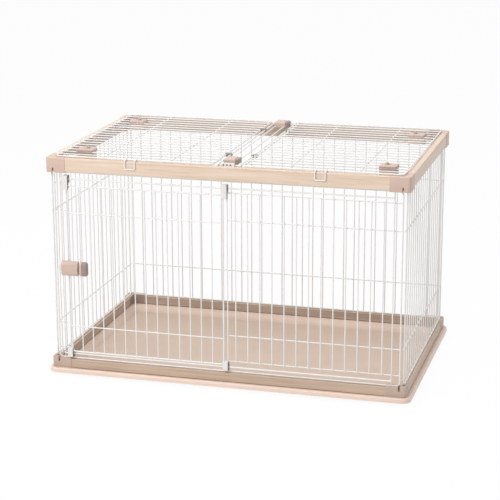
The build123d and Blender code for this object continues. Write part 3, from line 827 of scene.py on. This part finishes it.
for side in ("left", "right"):
    for end in ("front", "back"):
        soften(f"foot_corner_{end}_{side}", "root", LARGE_EDGE)
        soften(f"top_corner_{end}_{side}", "root", LARGE_EDGE)
        soften(f"roof_lock_{end}_{side}", f"roof_{side}", LOCK_EDGE)
for end in ("front", "back"):
    soften(f"centre_latch_{end}", "root", CENTRE_EDGE)
    soften(f"centre_pull_{end}", f"centre_slider_{end}", SMALL_EDGE)
soften("latch_housing", "front_door", LARGE_EDGE)
soften("door_clips", "front_door", SMALL_EDGE)
print("softened mouldings")

# %% [markdown]
# The latch pull is a pale grip with a grey-brown cap whose end is round, so that a thumb slides off
# it. Both share one outline, a bar with bevelled front edges. The outline is carried along the pull
# in sections, drawn in at the seam and along a quarter circle at the end. The bolt behind it is a
# bar.

# %% Latch pull
PULL_START, SEAM, CAP_FROM, ROUND_FROM, ROUND = -380.2, 7.0, 8.2, 14.0, 7.0
PULL_HALF, PULL_DEEP, PULL_BEVEL, PULL_BACK, PULL_MIDDLE = 18.5, 12.0, 6.5, -297.0, 289.0
LEAST_DEEP, LEAST_FRONT = 2.0, 0.5
START_CUT, SEAM_DEEP, SEAM_CUT = 0.6, 1.6, 0.3
ROUND_STEPS = 8
BOLT_MIDDLE, BOLT_SIZE = (-393.5, -302.0, PULL_MIDDLE), (28.6, 4.0, 7.0)
PALE, CAPPED = 0, 1


def pull_outline(inset):
    """Points of the bevelled outline, drawn in by the inset on every side but the back."""
    half, deep = PULL_HALF - inset, max(PULL_DEEP - inset, LEAST_DEEP)
    cut = min(PULL_BEVEL, deep - LEAST_FRONT)
    corner = ((0.0, -half), (deep - cut, -half), (deep, cut - half), (deep, half - cut),
              (deep - cut, half), (0.0, half))
    return [(PULL_BACK - y, PULL_MIDDLE + z) for y, z in corner]


def pull_sections():
    """Places along the pull, each with how far its outline is drawn in."""
    places = [(0.0, START_CUT), (START_CUT, 0.0), (SEAM - SEAM_CUT, 0.0), (SEAM, SEAM_DEEP),
              (CAP_FROM, SEAM_DEEP), (CAP_FROM + SEAM_CUT, 0.0), (ROUND_FROM, 0.0)]
    for step in range(1, ROUND_STEPS + 1):
        turn = math.radians(90 * step / ROUND_STEPS)
        places.append((ROUND_FROM + ROUND * math.sin(turn), ROUND * (1 - math.cos(turn))))
    return places


def pull_shape():
    """The pull and its bolt as one mesh, with the cap in the second material."""
    shape = bmesh.new()
    rings = []
    sections = pull_sections()
    for along, inset in sections:
        rings.append([shape.verts.new(((PULL_START + along) * MM, y * MM, z * MM))
                      for y, z in pull_outline(inset)])
    for number, (low, high) in enumerate(zip(rings, rings[1:])):
        for k in range(len(low)):
            after = (k + 1) % len(low)
            face = shape.faces.new((low[k], low[after], high[after], high[k]))
            face.material_index = PALE if sections[number][0] < SEAM else CAPPED
    shape.faces.new(reversed(rings[0]))
    shape.faces.new(rings[-1]).material_index = CAPPED
    for vertex in bmesh.ops.create_cube(shape, size=1.0)["verts"]:
        vertex.co = Vector([middle + at * size for middle, at, size
                            in zip(BOLT_MIDDLE, vertex.co, BOLT_SIZE)]) * MM
    bmesh.ops.recalc_face_normals(shape, faces=shape.faces)
    mesh = bpy.data.meshes.new("latch_pull_round")
    shape.to_mesh(mesh)
    shape.free()
    smooth(mesh)
    mesh.materials.append(latch_plastic)
    mesh.materials.append(grip_plastic)
    return mesh


pull = linked("latch_pull_round", pull_shape())
bevelled(pull, width=0.8, segments=3)
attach(pull, "door_pull")
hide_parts("latch_pull")
print("latch pull", len(pull.data.polygons), "faces")

# %% [markdown]
# Three dark screws sit in the round holes of each seat of the roof strip. They are one small turned
# shape with a cross recess, set on three points by a third Geometry Nodes tree. They are dark and
# satin, without the shine of metal, so the recipe of the mouldings serves for them too.

# %% Seat screws
SCREW_R, SCREW_HIGH = 1.75, 1.4
SCREW_PROFILE = ((SCREW_R, 0.0), (SCREW_R, 0.8), (SCREW_R * 0.82, 1.2),
                 (SCREW_R * 0.35, SCREW_HIGH))
SCREW_SIDES, NOTCH_EVERY, NOTCH = 24, 6, 0.35
SCREW_X, SCREW_Y, SCREW_Z = (-1.0, 8.0, 17.0), 287.2, 578.25
SCREW_GRAIN = 1500.0
dark_screw_skin = moulded("blackened_screw", paint(52, 48, 46), paint(74, 69, 66),
                     SCREW_GRAIN, SLEEK_GLOSS)


def screw_shape():
    """A domed head with four notches, its face looking along -Y."""
    shape = bmesh.new()
    rings = []
    for radius, depth in SCREW_PROFILE:
        ring = []
        for k in range(SCREW_SIDES):
            turn = math.tau * k / SCREW_SIDES
            notch = NOTCH if (k % NOTCH_EVERY == 0 and radius < SCREW_R) else 0.0
            ring.append(shape.verts.new((radius * math.cos(turn) * MM, -(depth - notch) * MM,
                                         radius * math.sin(turn) * MM)))
        rings.append(ring)
    for low, high in zip(rings, rings[1:]):
        for k in range(SCREW_SIDES):
            after = (k + 1) % SCREW_SIDES
            shape.faces.new((low[k], low[after], high[after], high[k]))
    shape.faces.new(rings[0])
    shape.faces.new(rings[-1])
    bmesh.ops.recalc_face_normals(shape, faces=shape.faces)
    mesh = bpy.data.meshes.new("screw_shape")
    shape.to_mesh(mesh)
    shape.free()
    return mesh


def screw_tree(turn):
    """Sets a screw on every point, turned about the upright axis."""
    tree, given, output = new_tree("seat_screws", (("Screw", "NodeSocketObject"),))
    shape = tree.nodes.new("GeometryNodeObjectInfo")
    put = tree.nodes.new("GeometryNodeInstanceOnPoints")
    put.inputs["Rotation"].default_value = (0.0, 0.0, turn)
    tree.links.new(given.outputs["Screw"], shape.inputs["Object"])
    tree.links.new(given.outputs["Geometry"], put.inputs["Points"])
    tree.links.new(shape.outputs["Geometry"], put.inputs["Instance"])
    chain_end(tree, put.outputs[0], output, dark_screw_skin)
    return tree


screw = linked("screw_pattern", screw_shape())
for end, sign, turn in (("front", -1.0, 0.0), ("back", 1.0, math.pi)):
    at = [(x * MM, sign * SCREW_Y * MM, SCREW_Z * MM) for x in SCREW_X]
    three = grown(f"seat_screws_{end}", at, [], screw_tree(turn), Screw=screw)
    piece = joined(f"seat_screws_{end}", [three], dark_screw_skin)
    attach(piece, "root")
bpy.data.objects.remove(screw)

# %% [markdown]
# Floor and backdrop: one pale sheet. It shows white to the camera, as the photograph's cut-out
# background does, and to glossy and passing rays, while the object still lies on a real surface
# that it shades.

# %% Floor
FLOOR_HALF = 30.0
FLOOR_CORNERS = [(-FLOOR_HALF, -FLOOR_HALF, 0), (FLOOR_HALF, -FLOOR_HALF, 0),
                 (FLOOR_HALF, FLOOR_HALF, 0), (-FLOOR_HALF, FLOOR_HALF, 0)]
FLOOR_TONE, FLOOR_GLOW = 0.94, 0.95
SEEN_BY = ("Is Camera Ray", "Is Glossy Ray", "Is Transmission Ray")

floor_mesh = bpy.data.meshes.new("floor")
floor_mesh.from_pydata(FLOOR_CORNERS, [], [(0, 1, 2, 3)])
floor = linked("floor", floor_mesh)
floor_sheet = Recipe("floor_sheet")
floor_sheet.set(Base_Color=(FLOOR_TONE, FLOOR_TONE, FLOOR_TONE, 1.0), Roughness=0.9)
rays = floor_sheet.tree.nodes.new("ShaderNodeLightPath")
from_camera, from_gloss, passing = (Val(floor_sheet, rays.outputs[kind]) for kind in SEEN_BY)
face = floor_sheet.node("ShaderNodeMixShader", None,
                        {0: (from_camera + from_gloss + passing) * FLOOR_GLOW,
                         1: Val(floor_sheet, floor_sheet.shader.outputs[0]),
                         2: floor_sheet.node("ShaderNodeEmission")})
floor_sheet.feed(floor_sheet.tree.nodes["Material Output"].inputs["Surface"], face)
floor_mesh.materials.append(floor_sheet.material)

# %% [markdown]
# The world is white for the same three kinds of rays, and gives the object a dimmer even light.

# %% World
EVEN_LIGHT, BACKDROP = 0.48, 1.0

world = bpy.data.worlds.new("studio")
bpy.context.scene.world = world
world.use_nodes = True
sky = world.node_tree
choose = sky.nodes.new("ShaderNodeMixShader")
shades = ((sky.nodes["Background"], EVEN_LIGHT), (sky.nodes.new("ShaderNodeBackground"), BACKDROP))
for number, (shade, strength) in enumerate(shades, start=1):
    shade.inputs["Color"].default_value = (1.0, 1.0, 1.0, 1.0)
    shade.inputs["Strength"].default_value = strength
    sky.links.new(shade.outputs[0], choose.inputs[number])
sky_rays = sky.nodes.new("ShaderNodeLightPath")
seen = sky_rays.outputs[SEEN_BY[0]]
for kind in SEEN_BY[1:]:
    either = sky.nodes.new("ShaderNodeMath")
    either.operation = "MAXIMUM"
    sky.links.new(seen, either.inputs[0])
    sky.links.new(sky_rays.outputs[kind], either.inputs[1])
    seen = either.outputs[0]
sky.links.new(seen, choose.inputs[0])
sky.links.new(choose.outputs[0], sky.nodes["World Output"].inputs["Surface"])

# %% [markdown]
# Light: one large soft key from the front left and above, because the photograph lights the tops
# and the fronts and leaves the right-hand faces darker, and a weaker lamp straight above the roof.

# %% Lamps


def lamp(name, place, aim, size, power):
    data = bpy.data.lights.new(name, "AREA")
    data.shape = "DISK"
    data.size = size
    data.energy = power
    made = linked(name, data)
    made.location = place
    made.rotation_euler = (Vector(aim) - Vector(place)).to_track_quat("-Z", "Y").to_euler()


lamp("key", place=(-1.9, -3.2, 3.4), aim=(0.0, 0.0, 0.25), size=2.0, power=102.0)
lamp("top", place=(0.2, 0.2, 3.2), aim=(0.0, 0.0, 0.3), size=2.2, power=34.0)
bpy.context.scene.view_settings.view_transform = "Standard"
